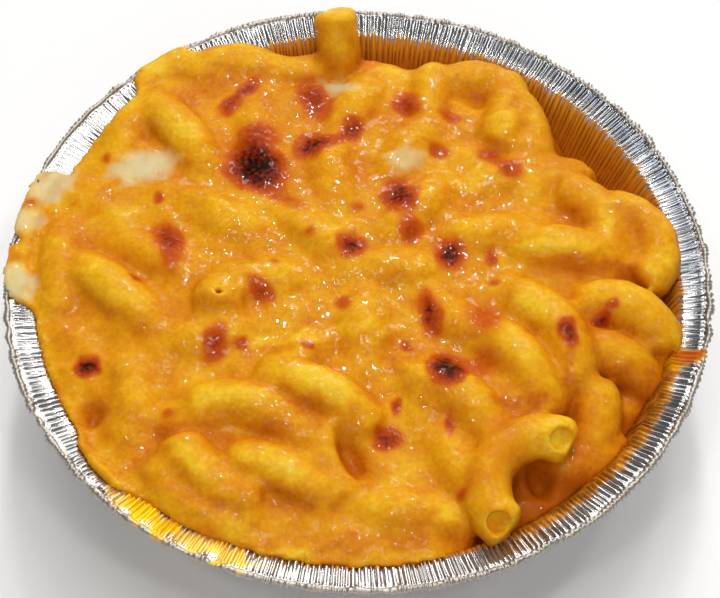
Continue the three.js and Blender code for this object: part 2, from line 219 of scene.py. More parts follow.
# Gaps between elbows that the cheese didn't close: x, y, height, half the length, turn, radius.
CREVICES = [
    (-0.1, -39.2, 32.3, 4.4, -62, 2.1),
    (-44.8, -31.0, 31.7, 3.0, -67, 2.4),
    (31.4, -39.2, 25.5, 2.4, -55, 2.0),
]
BURIED = 22  # elbows under the top, which only lift it
BURIED_REACH = 40.0
BURIED_DEPTH = 2.6
BURIED_COAT = 0.6
BURIED_FORM = (100, 19, 14)  # side it bends to, length, radius of the bend
GOLDEN_TURN = 137.508  # degrees from one point to the next, which spreads them evenly over a disc
HEADING_STEP = 2.3  # golden turns from one heading to the next

GREASY_SIDE = -38.0  # angle where baked fat climbs from the wall over the bend
GREASY_WIDTH = (18, 32)  # degrees to each side: all of it up to the first, none past the second
GREASY_CLIMB = 1.4
TEETH = (-0.4, 1.2)  # how far past the bend the fat reaches in a pleat, least and greatest
TOOTH = (0.0, 0.6, 1.0, 0.5)  # share of that at the pleat's four columns
CHARRED_AND_SHADED_LIFTS = (-0.9, 0.1)  # the fat is charred, and painted darker as shade, in all creases below the first and in none above the second
GREASY_CHAR_AND_SHADE = 4.0  # by which that second is higher on the greasy side
FILM_DEPTH = 3  # below the bend, where films on the brim end
SHADED_SIDE = math.radians(28.0)  # angle where the brim is creased most, and where its reflections are painted greyer as shade
SHADE_POWER = 5
SHADE_RADIUS = 60.8  # where that painted shade is greyest; it starts at the bend

GLINT_SIZE = 0.55  # width of a bead of fat
GLINT_TILT = 0.3

# Lamps: place in metres, width, power, and the depth of an oval one. The softboxes and the fill light the
# whole. The small far lamps stand where level food mirrors them to someone seated in front, so that its fat
# glints, and the ring of small ones puts sparks on the pleats.
LAMPS = {
    "overhead_softbox": ((-0.03, 0.0, 0.68), 0.36, 1.2),
    "far_lamp_0": ((0.0, 1.3, 1.25), 0.16, 2.0),
    "far_lamp_1": ((0.0, 1.0, 1.46), 0.16, 4.5),
    "far_lamp_2": ((0.0, 0.75, 1.7), 0.16, 2.0),
    "far_softbox": ((0.14, 0.8, 0.52), 1.0, 2.9, 0.45),
    "near_fill": ((0.0, -0.6, 0.4), 0.6, 0.9),
}
LAMP_AIM = (0, 0, 0.03)
RING_TURNS = (20, 60, -60, -120)
RING_REACH = 0.3
RING_HEIGHT = 0.62
RING_WIDTH = 0.06
RING_POWER = 0.3

CAMERA_DISTANCE = 350
CAMERA_ELEVATION = 55.6
CAMERA_ROLL = 1.57  # degrees, as when a phone is held by hand
CAMERA_TARGET = (0.3, -5.6, 29.2)
CAMERA_LENS = 98.75
PAPER_HALF = 2000
PAPER_GAP = 0.02  # under the dish's base

# Where the grill browned the top: x, y, half the length, half the width, turn of the length, strength.
BROWNED = [
    (-25.5, 37, 2.4, 1.9, 60, 0.7),
    (-22.5, 41.5, 4.2, 1.5, 50, 0.7),
    (-9.5, 39.5, 5.4, 3.0, 110, 0.75),
    (-2, 31.5, 2.7, 2.1, 60, 0.8),
    (-9.5, 27, 3.4, 3.0, 60, 0.9),
    (-5.5, 28, 3.6, 1.5, 20, 0.5),
    (-19.5, 21.5, 5.6, 4.6, 150, 1.0),
    (-19.5, 21.2, 4.6, 3.6, 150, 0.8),
    (-19.5, 28.5, 4.0, 3.4, 0, 0.65),
    (-14, 14.5, 6.2, 1.7, -35, 0.35),
    (8, 38.5, 3.3, 2.4, 115, 0.7),
    (16.5, 36, 2.4, 1.6, -25, 0.55),
    (14, 27, 2.2, 2.0, 0, 0.5),
    (23.5, 26.5, 2.7, 2.0, -60, 0.55),
    (27, 22.5, 2.8, 2.2, -30, 0.6),
    (7, 15.5, 4.4, 3.1, 100, 0.9),
    (9, 7.5, 2.8, 2.2, 90, 0.6),
    (-1.4, 3.8, 2.5, 2.9, 0, 0.88),
    (16, 3, 3.3, 2.6, 90, 0.95),
    (23.5, 2.5, 2.0, 1.4, 90, 0.6),
    (24, -3, 1.1, 1.0, 0, 0.5),
    (-34.4, 4.6, 4.0, 2.6, 115, 0.8),
    (-33.5, -0.5, 2.5, 1.8, 100, 0.4),
    (-37, 14.5, 1.4, 0.9, 90, 0.6),
    (-39.5, -4, 1.3, 1.1, 0, 0.6),
    (-17, -6.5, 3.0, 1.8, -40, 0.6),
    (-24.5, -17.5, 3.4, 2.3, 80, 0.66),
    (-20, -17.5, 1.3, 1.2, 0, 0.6),
    (-46.3, -21.6, 2.0, 2.0, 0, 0.95),
    (-46.3, -21.6, 1.8, 1.8, 0, 0.8),
    (12.5, -10, 4.6, 1.8, 105, 0.8),
    (22, -11.0, 4.2, 3.6, 90, 0.42),
    (8.5, -17, 1.5, 1.1, -40, 0.65),
    (15.5, -22.3, 3.1, 3.8, 0, 1.0),
    (15.5, -22.3, 2.6, 3.3, 0, 0.8),
    (21.5, -20.0, 3.2, 3.2, 0, 0.36),
    (7, -29, 1.7, 1.1, 90, 0.7),
    (5.5, -35, 2.6, 2.0, 10, 0.8),
    (16, -32.5, 2.2, 0.9, 95, 0.6),
    (36.5, -15, 2.9, 1.6, 100, 0.85),
    (42.5, -10, 1.6, 1.5, 0, 0.85),
    (44.5, -8, 1.1, 1.0, 0, 0.5),
    (-2.5, -8.5, 1.5, 1.4, 0, 0.45),
    (-31.5, -31.5, 1.5, 1.2, 0, 0.45),
    (-0.5, 13, 1.6, 1.0, 0, 0.45),
    (-9, 5.5, 1.5, 1.4, 0, 0.35),
    (-15, -0.5, 1.2, 1.2, 0, 0.35),
    (18, -45.5, 1.0, 1.0, 0, 0.5),
    (-8.5, -18, 1.1, 1.0, 0, 0.5),
    (-60, 12.6, 2.2, 1.3, 10, 0.3),
    (-61.3, 0.5, 1.6, 1.3, 0, 0.25),
    (-47.5, 24, 1.2, 1.2, 0, 0.35),
]
# Where the cheese looks golden on ridges and tops, and where it looks deep orange in folds and under elbows:
# # partly thin and thick cheese, partly painted light on the ridges and painted shade in the folds and under
# the
# # elbows. The same fields.
GOLDEN_LIT = [
    (-6.4, -15.0, 14.8, 1.6, 4, 0.9),
    (-27.2, -23.5, 6.3, 2.2, -74, 0.6),
    (-7.6, -26.6, 8.8, 2.4, -18, 0.9),
    (-19.9, -29.1, 7.2, 2.0, 2, 0.8),
    (-12.9, -41.9, 6.1, 2.0, -20, 0.8),
    (-26.9, -41.7, 5.4, 1.5, -48, 0.9),
    (8.6, -41.0, 3.3, 3.0, 2, 0.8),
    (17.1, -48.0, 4.4, 1.8, -14, 0.9),
    (31.2, -1.1, 7.0, 1.8, -42, 0.8),
    (44.1, 10.0, 3.8, 1.4, -82, 1.0),
    (-7.6, 5.1, 5.9, 3.0, 36, 0.6),
    (11.7, -5.0, 4.4, 2.0, -1, 0.6),
    (-35.2, 30.6, 9.0, 2.8, -54, 0.6),
    (-43.3, -7.7, 6.2, 2.4, -45, 0.4),
    (19.5, 18.9, 6.1, 2.4, 11, 0.5),
    (-24.7, -6.0, 3.2, 2.6, 2, 0.7),
    (5.3, 46.3, 3.7, 2.0, -22, 0.6),
    (21.3, -17.9, 7.0, 3.0, 10, 0.4),
    (-37.0, -44.5, 4.5, 2.0, -37, 0.8),
    (30.1, -9.9, 6.0, 2.4, -30, 0.6),
    (-40.0, 11.4, 7.4, 2.2, -7, 0.5),
    (-19.1, 10.4, 8.7, 2.6, -17, 0.5),
    (33.7, 3.4, 7.8, 2.4, 10, 0.8),
    (27.3, -22.8, 3.5, 3.5, 0, 0.8),
    (33.2, -24.0, 2.4, 2.4, 0, 0.7),
    (9.2, -4.0, 3.4, 1.8, 2, 0.6),
    (-9.8, 4.3, 3.3, 2.5, 90, 0.7),
    (-29.6, 20.5, 2.2, 2.2, 0, 0.7),
    (-8.6, -27.2, 3.4, 1.6, 9, 0.7),
    (-17.4, -32.7, 4.0, 1.4, 7, 0.7),
    (33.9, -37.0, 2.7, 2.7, 0, 0.9),
    (22.4, 44.6, 2.1, 1.8, 2, 0.5),
    (47.3, -23.9, 2.0, 1.6, -23, 1.0),
    (7.6, -27.4, 2.6, 2.2, 2, 0.5),
    (12.8, -46.1, 4.2, 1.8, 4, 0.5),
    (-5.3, 49.7, 2.1, 1.8, -45, 0.8),
]
RUDDY_SHADED = [
    (-6.8, -31.1, 5.8, 1.6, -27, 0.9),
    (0.3, -33.1, 3.1, 1.6, -50, 0.8),
    (-12.9, -46.6, 8.5, 1.7, -11, 0.9),
    (-12.6, -34.5, 4.9, 1.6, -28, 0.8),
    (-40.2, -12.7, 4.7, 1.6, -29, 0.8),
    (-50.6, 6.3, 5.5, 2.4, -29, 0.6),
    (36.7, -18.1, 7.4, 1.2, 78, 0.9),
    (29.0, -27.3, 6.1, 1.0, 9, 1.0),
    (42.3, 1.5, 9.9, 1.2, 0, 1.0),
    (-12.8, -18.4, 8.2, 0.9, 2, 0.7),
    (47.7, -20.2, 5.6, 2.0, 12, 0.8),
    (46.1, -13.0, 4.5, 2.0, -42, 0.5),
    (-40.8, 30.3, 3.4, 1.6, -30, 0.7),
    (-29.0, -34.7, 5.6, 1.6, -6, 0.9),
    (-37.2, -37.6, 4.9, 2.0, -15, 0.5),
    (-21.5, -49.0, 7.7, 1.0, -21, 0.8),
    (0.6, -53.7, 18.9, 1.6, 2, 0.7),
    (22.3, -8.4, 3.3, 2.4, -38, 0.5),
    (45.8, 17.4, 3.9, 1.6, 2, 0.5),
    (-44.6, 16.0, 3.3, 1.8, -8, 0.5),
    (18.7, -43.4, 5.8, 1.2, 81, 0.7),
    (-26.5, 43.1, 7.3, 1.6, 27, 0.6),
    (54.0, 15.7, 3.1, 1.6, 90, 0.8),
    (42.8, -13.0, 4.7, 1.8, 4, 0.9),
    (29.0, 38.4, 1.8, 1.8, 2, 0.6),
    (-5.4, -35.6, 5.0, 1.6, -39, 0.9),
    (-8.8, -21.8, 2.6, 1.4, 2, 0.6),
    (-37.7, -31.4, 3.4, 2.2, -79, 0.8),
    (-32.1, 0.6, 2.0, 2.0, 0, 0.8),
    (-40.2, -5.4, 1.9, 1.6, 2, 0.5),
    (-50.7, 3.3, 3.1, 1.8, 6, 0.5),
    (-51.5, -15.7, 2.3, 1.4, -84, 0.6),
    (3.1, -40.1, 2.9, 2.4, 90, 0.7),
    (28.7, -32.5, 4.3, 2.7, 7, 0.5),
    (24.5, -38.0, 9.0, 5.0, 52, 0.7),
]
# Cheese that melted without mixing in stays the colour of cream.
CREAMY = [
    (-40.5, 22, 6.0, 3.6, 15, 1.0),
    (-57, 17.5, 5.4, 3.2, 50, 0.9),
    (-60.5, 8.8, 2.8, 3.2, 90, 0.75),
    (-60.5, -4.8, 3.8, 3.4, 100, 0.9),
    (-5.7, 42.4, 4.2, 2.0, 172, 0.95),
    (8, 24, 3.8, 2.6, 20, 0.7),
]
# Thin films of cheese and a drip on the foil: the same fields.
FILMED = [
    (-34, -49, 7.5, 2.8, -36, 1.0),
    (-22, -55.5, 8.0, 2.2, -21, 0.85),
    (-35, 50, 2.6, 2.4, 40, 0.7),
    (57.6, -15.8, 3.4, 2.2, 0, 0.7),
]
DRIPPED = [(58.4, -15.0, 3.6, 1.1, 5, 1.0), (57.4, -16.8, 2.0, 1.0, -20, 0.9)]


# ---------------------------------------------------------------- numbers

def smoothstep(value, low, high):
    """0 up to low and 1 from high on. With s the share of the way between them, it is s * s * (3 - 2 * s)."""
    share = np.clip((value - low) / (high - low), 0, 1)
    return share * share * (3 - 2 * share)


def soft_min(a, b, fillet):
    """The smaller of two fields, rounded where they are within a fillet of each other."""
    near = np.maximum(fillet - np.abs(a - b), 0) / fillet
    return np.minimum(a, b) - near * near * fillet / 4


def soft_max(a, b, fillet):
    """The larger of two fields, rounded likewise."""
    return -soft_min(-a, -b, fillet)


def ripples(places, wavelength, seed, waves=9):
    """A sum of plane sine waves of seeded directions and phases, 0.7 to 1.5 wavelengths long, over 1.4 times
    the root of their number, which leaves it from about -1 to 1."""
    draw = np.random.default_rng(seed)
    total = 0
    for _ in range(waves):
        way = draw.normal(size=len(places))
        way *= 2 * math.pi / (wavelength * draw.uniform(0.7, 1.5) * np.linalg.norm(way))
        phase = draw.uniform(0, 2 * math.pi)
        total = total + np.sin(sum(k * p for k, p in zip(way, places)) + phase)
    return total / math.sqrt(waves) / 1.4


def patches(rows, x, y, ragged=0.5, full=0.1, gone=1.55):
    """Share of cover by soft-edged ovals. It is whole inside the full share of an oval's size and none past
    the gone share, and the outline wanders by the ragged amount in millimetres."""
    x = x + ragged * ripples((x, y), wavelength=4.0, seed=11)
    y = y + ragged * ripples((x, y), wavelength=3.4, seed=12)
    bare = np.ones(np.broadcast(x, y).shape)
    for east, north, length, width, turn, strength in rows:
        c, s = math.cos(math.radians(turn)), math.sin(math.radians(turn))
        along = (x - east) * c + (y - north) * s
        across = (y - north) * c - (x - east) * s
        away = np.hypot(along / length, across / width)
        bare *= 1 - strength * (1 - smoothstep(away, full, gone))
    return 1 - bare


# ---------------------------------------------------------------- elbows

def make_elbow(x, y, z, heading, tilt, roll, length, bend, bare, opened):
    """An arc of tube: it runs along its heading at its middle and turns towards inward about a centre that
    lies the bend's radius away."""
    heading, tilt, roll = (math.radians(a) for a in (heading, tilt, roll))
    along = np.array([math.cos(heading), math.sin(heading), math.tan(tilt)])
    along /= np.linalg.norm(along)
    left = np.array([-math.sin(heading), math.cos(heading), 0])
    inward = left * math.cos(roll) + np.cross(left, along) * math.sin(roll)
    middle = np.array([x, y, z], float)
    turn = np.linspace(-0.5, 0.5, LINE_POINTS) * length / bend
    line = middle + bend * (np.outer(np.sin(turn), along) + np.outer(1 - np.cos(turn), inward))
    ends = {"start": (-1,), "end": (1,), "both": (-1, 1), "": ()}[opened]
    return SimpleNamespace(
        along=along, inward=inward, side=np.cross(along, inward), centre=middle + bend * inward,
        line=line, length=length, bend=bend, bare=bare, ends=ends,
    )


def buried_elbow(i):
    """The i-th of the elbows that only lift the top: its radius goes with the root of i, its angle with i."""
    radius = BURIED_REACH * math.sqrt((i + 0.5) / BURIED)
    angle = math.radians(i * GOLDEN_TURN)
    x, y = radius * math.cos(angle), radius * math.sin(angle)
    z = float(sauce_level(x, y)) - BURIED_DEPTH
    return make_elbow(x, y, z, i * GOLDEN_TURN * HEADING_STEP, 0, *BURIED_FORM, -BURIED_COAT, "")


def arc_distances(elbow, x, y, z):
    """Distance from the whole circle that the elbow's arc is part of, and how far along it a point lies from
    the arc's middle. With a along the arc, b out from its centre and c across its plane, they are
    hypot(hypot(a, b) - bend, c) and bend times the angle of (b, a)."""
    offset = [p - q for p, q in zip((x, y, z), elbow.centre)]
    a, b, c = (sum(o * k for o, k in zip(offset, way)) for way in (elbow.along, -elbow.inward, elbow.side))
    radial = np.hypot(np.hypot(a, b) - elbow.bend, c)
    return radial, elbow.bend * np.arctan2(a, b)


def bore_field(elbow, end, radius, depth, skew, x, y, z):
    """Below nought in an open end: closer to the axis than the radius, and past the depth under the elbow's
    rounded end. The axis starts one tube radius inside the end."""
    turn = end * (elbow.length / 2 - TUBE_RADIUS) / elbow.bend
    way = end * (math.cos(turn) * elbow.along + math.sin(turn) * elbow.inward) + skew * np.array(MOUTH_WAY)
    way /= np.linalg.norm(way)
    start = elbow.centre + elbow.bend * (math.sin(turn) * elbow.along - math.cos(turn) * elbow.inward)
    offset = [p - q for p, q in zip((x, y, z), start)]
    along = sum(o * k for o, k in zip(offset, way))
    across = np.sqrt(np.maximum(sum(o**2 for o in offset) - along**2, 0))
    return np.maximum(across - radius, TUBE_RADIUS - depth - along)


# ---------------------------------------------------------------- the heap's field

def full_level(radius):
    """The mound where the food reaches the foil: it falls away with the square of the radius."""
    return MOUND - (MOUND - FULL_EDGE) * (radius / BRIM_RADIUS) ** 2


def sauce_level(x, y):
    """The low mound, and the bay on the far right, where it falls away past a shoulder to the bay's floor."""
    radius = np.hypot(x, y)
    angle = np.degrees(np.arctan2(y, x))
    opened = smoothstep(angle, BAY_FROM - BAY_FADE, BAY_FROM + BAY_FADE)
    bay_share = opened * (1 - smoothstep(angle, BAY_TO - BAY_FADE, BAY_TO + BAY_FADE))
    full = full_level(radius)
    shoulder = MOUND - SHOULDER_DROP * (radius / BAY_END) ** 2
    fall = smoothstep(radius, BAY_START, BAY_END)
    bay = shoulder + (BAY_FLOOR - shoulder) * fall
    return full + (bay - full) * bay_share


def elbow_top(elbow, x, y):
    """Top of the core over one elbow: round near the centre line, then a steep flank."""
    radius = TUBE_RADIUS - elbow.bare
    shoulder = FLANK_START * radius
    best = np.full(np.broadcast(x, y).shape, -np.inf)
    for a, b in zip(elbow.line[:-1], elbow.line[1:]):
        run = b - a
        t = np.clip(((x - a[0]) * run[0] + (y - a[1]) * run[1]) / (run[0] ** 2 + run[1] ** 2), 0, 1)
        away = np.hypot(x - a[0] - t * run[0], y - a[1] - t * run[1])
        near = np.minimum(away, shoulder)
        top = a[2] + t * run[2] + np.sqrt(radius**2 - near**2) - FLANK_SLOPE * (away - near)
        best = np.maximum(best, top)
    return best


def brim_top(radius):
    """Height of the foil past the bend: the brim's slope, then the round of the rolled edge."""
    slope = (BRIM_END[1] - BRIM_HEIGHT) / (BRIM_END[0] - BRIM_RADIUS)
    across = np.minimum(np.abs(radius - BEAD[0]), BEAD_RADIUS)
    bead = BEAD[1] + np.sqrt(BEAD_RADIUS**2 - across**2)
    return np.where(radius < BRIM_END[0], BRIM_HEIGHT + slope * (radius - BRIM_RADIUS), bead)


def heap_height(x, y, elbows):
    """Top of the core, which holds up every elbow but the bare ones. Past the bend it lies on the brim and
    thins to nothing at the reach of the spill there, with the fourth power of the share of that reach."""
    radius = np.hypot(x, y)
    share = np.minimum(BRIM_RADIUS / np.maximum(radius, 1), 1)
    inner_x, inner_y = x * share, y * share
    height = sauce_level(inner_x, inner_y)
    for elbow in elbows:
        if elbow.bare < BARE:
            height = soft_max(height, elbow_top(elbow, inner_x, inner_y), FILLET)
    angle = np.degrees(np.arctan2(y, x))
    reach = EDGE_REACH * (1 + EDGE_WANDER * ripples((x, y), wavelength=3.0, seed=22))
    wander = SPILL_WANDER * ripples((x, y), wavelength=7.0, seed=21)
    for at, far, half in SPILLS:
        off = np.abs((angle - at + 540) % 360 - 180) + wander
        gone = smoothstep(off, SPILL_SIDES[0] * half, SPILL_SIDES[1] * half)
        reach = np.maximum(reach, EDGE_REACH + far * (1 - gone))
    reach = np.maximum(reach, LEAST_REACH)
    relief = SWELL * ripples((x, y), wavelength=9.0, seed=1)
    relief = relief + RIPPLE * ripples((x, y), wavelength=3.6, seed=2)
    relief = relief + CRUST_GRAIN * crusted(x, y) * ripples((x, y), wavelength=1.9, seed=4, waves=13)
    edge = np.maximum(height - BRIM_HEIGHT, 0)
    depth = edge + (SPILL_DEPTH - edge) * smoothstep(radius, BRIM_RADIUS, BRIM_RADIUS + SPILL_FALL)
    past = np.maximum(radius - BRIM_RADIUS, 0) / reach
    over = brim_top(radius) + depth * (1 - past**4)
    inside = radius <= BRIM_RADIUS
    return np.where(inside, height, np.maximum(over, BAY_FLOOR)) + relief * np.where(inside, 1, SPILL_RELIEF)


def crusted(x, y):
    """Share of the cheese that the grill dried: the top's middle, with an uneven edge."""
    middle = np.hypot(x - CRUST_MIDDLE[0], y - CRUST_MIDDLE[1])
    return 1 - smoothstep(middle - CRUST_WANDER * ripples((x, y), wavelength=16.0, seed=31), *CRUST_EDGE)


def room_field(x, y, z):
    """Below nought inside the dish: the foil's profile as a height over the radius, times the cosine of its
    slope."""
    radius = np.hypot(x, y)
    wall_slope = (BRIM_HEIGHT - CORNER_RADIUS - FOIL) / (BRIM_RADIUS - BASE_RADIUS)
    wall = CORNER_RADIUS + FOIL + wall_slope * (radius - BASE_RADIUS)
    on_brim = smoothstep(radius, BRIM_RADIUS - BEND, BRIM_RADIUS + BEND)
    lean = 1 / math.hypot(1, wall_slope)
    cosine = lean + (BRIM_COSINE - lean) * on_brim
    profile = np.where(radius < BRIM_RADIUS, wall, brim_top(radius))
    return (profile - z) * cosine - INTO_FOIL


def window_of(axes, grid, points, reach):
    """The slices of a grid that hold the points and what lies within reach of them, and the grid there."""
    low, high = points.min(0) - reach, points.max(0) + reach
    window = tuple(slice(*np.searchsorted(axis, (a, b))) for axis, a, b in zip(axes, low, high))
    return window, (grid[0][window[0]], grid[1][:, window[1]], grid[2][:, :, window[2]])


def heap_field(axes, elbows):
    """Distance above the core's top, joined by fillets to the distance from each elbow's tube, less the bores
    and the crevices, and cut by the dish."""
    grid = np.meshgrid(*axes, indexing="ij", sparse=True)
    top = heap_height(*np.meshgrid(*axes[:2], indexing="ij"), elbows.values())
    slope_x, slope_y = np.gradient(top, NET_PITCH)
    steep = np.sqrt(1 + np.minimum(slope_x**2 + slope_y**2, STEEPEST**2))
    field = ((grid[2] - top[..., None]) / steep[..., None]).astype(np.float32)
    for name, elbow in elbows.items():
        if elbow.bare < 0:  # buried: it only lifts the top
            continue
        coat = 0 if elbow.bare > CLEAN else COAT
        fillet = BARE_FILLET + max(BARE - elbow.bare, 0)
        window, local = window_of(axes, grid, elbow.line, TUBE_RADIUS + coat + 2 * fillet)
        radial, way = arc_distances(elbow, *local)
        tube = soft_max(radial - TUBE_RADIUS - coat, np.abs(way) - elbow.length / 2, END_ROUNDING)
        field[window] = soft_min(field[window], tube, fillet)
        for end in elbow.ends if name in BORES else ():
            field[window] = soft_max(field[window], -bore_field(elbow, end, *BORES[name], *local), BORE_LIP)
    for east, north, height, half, turn, radius in CREVICES:
        run = half * np.array([math.cos(math.radians(turn)), math.sin(math.radians(turn)), 0])
        middle = np.array([east, north, height])
        window, local = window_of(axes, grid, np.stack([middle - run, middle + run]), 2 * radius + 2)
        off = [p - q for p, q in zip(local, middle)]
        t = np.clip((off[0] * run[0] + off[1] * run[1]) / half**2, -1, 1)
        deep = off[2] / CREVICE_DEPTH
        away = np.sqrt((off[0] - t * run[0]) ** 2 + (off[1] - t * run[1]) ** 2 + deep**2)
        field[window] = soft_max(field[window], radius * (1 - CREVICE_TAPER * t**2) - away, CREVICE_LIP)
    grain = SKIN_GRAIN * ripples(grid, wavelength=2.4, seed=3, waves=5)
    field += grain + SKIN_RIPPLE * ripples(grid, wavelength=5.5, seed=5, waves=5)
    return np.maximum(field, room_field(*grid))


# ---------------------------------------------------------------- surfaces

def fill_diagonals(field):
    """Where two inside corners of a grid square touch only across its diagonal, the corner beside them that
    is nearer the surface goes inside too, so that no edge of the surface has four faces."""
    for _ in range(FILL_ROUNDS):
        for axes in ((0, 1), (0, 2), (1, 2)):
            turned = np.moveaxis(field, axes, (0, 1))
            a, b, c, d = turned[:-1, :-1], turned[1:, 1:], turned[1:, :-1], turned[:-1, 1:]
            for p, q, r, s in ((a, b, c, d), (c, d, a, b)):
                touching = (r < 0) & (s < 0) & (p >= 0) & (q >= 0)
                p[touching & (p <= q)] = -FILLED
                q[touching & (q < p)] = -FILLED


def main_shell(count, quads):
    """Which vertices belong to the largest shell: each takes the lowest number among its faces' corners, and
    that number's own, until nothing changes."""
    label = np.arange(count)
    while True:
        lowest = label.copy()
        np.minimum.at(lowest, quads, label[quads].min(1)[:, None])
        lowest = lowest[lowest]
        if (lowest == label).all():
            return label == np.bincount(label).argmax()
        label = lowest


def open_ring(quads):
    """Corners of the one hole in a mesh of quads, in the order that a face which closes it runs through them.
    The hole's edges are those that no neighbour runs back along. Each of its corners points at the next one,
    and the steps from each to the first are counted by jumps that double in length."""
    start, end = quads.ravel().astype(np.int64), np.roll(quads, -1, 1).ravel().astype(np.int64)
    size = start.max() + 1
    lone = ~np.isin(start * size + end, end * size + start)
    corners, following = start[lone], end[lone]
    order = np.argsort(corners)
    jump = order[np.searchsorted(corners[order], following)]
    steps = np.ones(len(corners), int)
    jump[0], steps[0] = 0, 0
    for _ in range(len(corners).bit_length()):
        steps += steps[jump]
        jump = jump[jump]
    return corners[np.argsort(steps)]


def surface_net(field, origin, pitch):
    """The surface where a field on a grid is nought. Each cell that it crosses holds one vertex, at the mean
    of the places where it cuts the cell's edges, and each grid edge that it cuts makes a quad of the four
    cells round that edge, turned so that it faces out of the part below nought. Loose shells are left out."""
    inside = field < 0
    corners = [(i, j, k) for i in (0, 1) for j in (0, 1) for k in (0, 1)]
    cells = tuple(n - 1 for n in field.shape)
    count = sum(
        inside[i : i + cells[0], j : j + cells[1], k : k + cells[2]].astype(np.int8) for i, j, k in corners
    )
    where = np.argwhere((count > 0) & (count < 8))
    number = np.full(cells, -1, np.int32)
    number[tuple(where.T)] = np.arange(len(where))
    values = [field[tuple((where + corner).T)] for corner in corners]
    total, hits = np.zeros((len(where), 3)), np.zeros(len(where))
    for a, start in enumerate(corners):
        for b, end in enumerate(corners):
            if b > a and sum(map(abs, np.subtract(start, end))) == 1:
                cut = (values[a] < 0) != (values[b] < 0)
                share = np.where(cut, values[a] / np.where(cut, values[a] - values[b], 1), 0)
                total += cut[:, None] * (np.array(start) + share[:, None] * np.subtract(end, start))
                hits += cut
    points = origin + pitch * (where + total / hits[:, None])
    quads = []
    for axis in range(3):
        low = np.take(inside, range(field.shape[axis] - 1), axis)
        high = np.take(inside, range(1, field.shape[axis]), axis)
        edges = np.argwhere(low != high)
        second, third = (axis + 1) % 3, (axis + 2) % 3
        edges = edges[(edges[:, second] > 0) & (edges[:, third] > 0)]
        edges = edges[(edges[:, second] < cells[second]) & (edges[:, third] < cells[third])]
        ring = []
        for back_2, back_3 in ((1, 1), (0, 1), (0, 0), (1, 0)):
            cell = edges.copy()
            cell[:, second] -= back_2
            cell[:, third] -= back_3
            ring.append(number[tuple(cell.T)])
        quad = np.stack(ring, 1)
        faces_back = ~low[tuple(edges.T)]
        quad[faces_back] = quad[faces_back][:, ::-1]
        quads.append(quad)
    quads = np.concatenate(quads)
    kept = main_shell(len(points), quads)
    renumbered = np.cumsum(kept) - 1
    return points[kept], renumbered[quads[kept[quads[:, 0]]]], where[kept]


def make_piece(name, points, faces, attributes, material, last_face=None):
    """A mesh of quads, with one many-sided face more where one is given, from arrays in millimetres."""
    mesh = bpy.data.meshes.new(name)
    loops = np.asarray(faces).ravel()
    starts = np.arange(len(faces)) * 4
    if last_face is not None:
        starts = np.append(starts, len(loops))
        loops = np.append(loops, last_face)
    mesh.vertices.add(len(points))
    mesh.loops.add(len(loops))
    mesh.polygons.add(len(starts))
    mesh.vertices.foreach_set("co", (np.asarray(points) * MM).astype(np.float32).ravel())
    mesh.loops.foreach_set("vertex_index", loops.astype(np.int32))
    mesh.polygons.foreach_set("loop_start", starts.astype(np.int32))
    mesh.update(calc_edges=True)
    mesh.polygons.foreach_set("use_smooth", np.ones(len(starts), bool))
    for key, values in attributes.items():
        layer = mesh.attributes.new(key, "FLOAT", "POINT")
        layer.data.foreach_set("value", np.asarray(values, np.float32))
    mesh.materials.append(material)
    mesh.validate()
    piece = bpy.data.objects.new(name, mesh)
    bpy.context.scene.collection.objects.link(piece)
    return piece


def blurred(heights, steps):
    """The mean over a square of twice the steps and one more, from running sums along both axes."""
    size = 2 * steps + 1
    for axis in (0, 1):
        padded = np.pad(np.moveaxis(heights, axis, 0), ((steps + 1, steps), (0, 0)), "edge")
        sums = np.cumsum(padded, 0)
        heights = np.moveaxis((sums[size:] - sums[:-size]) / size, 0, axis)
    return heights


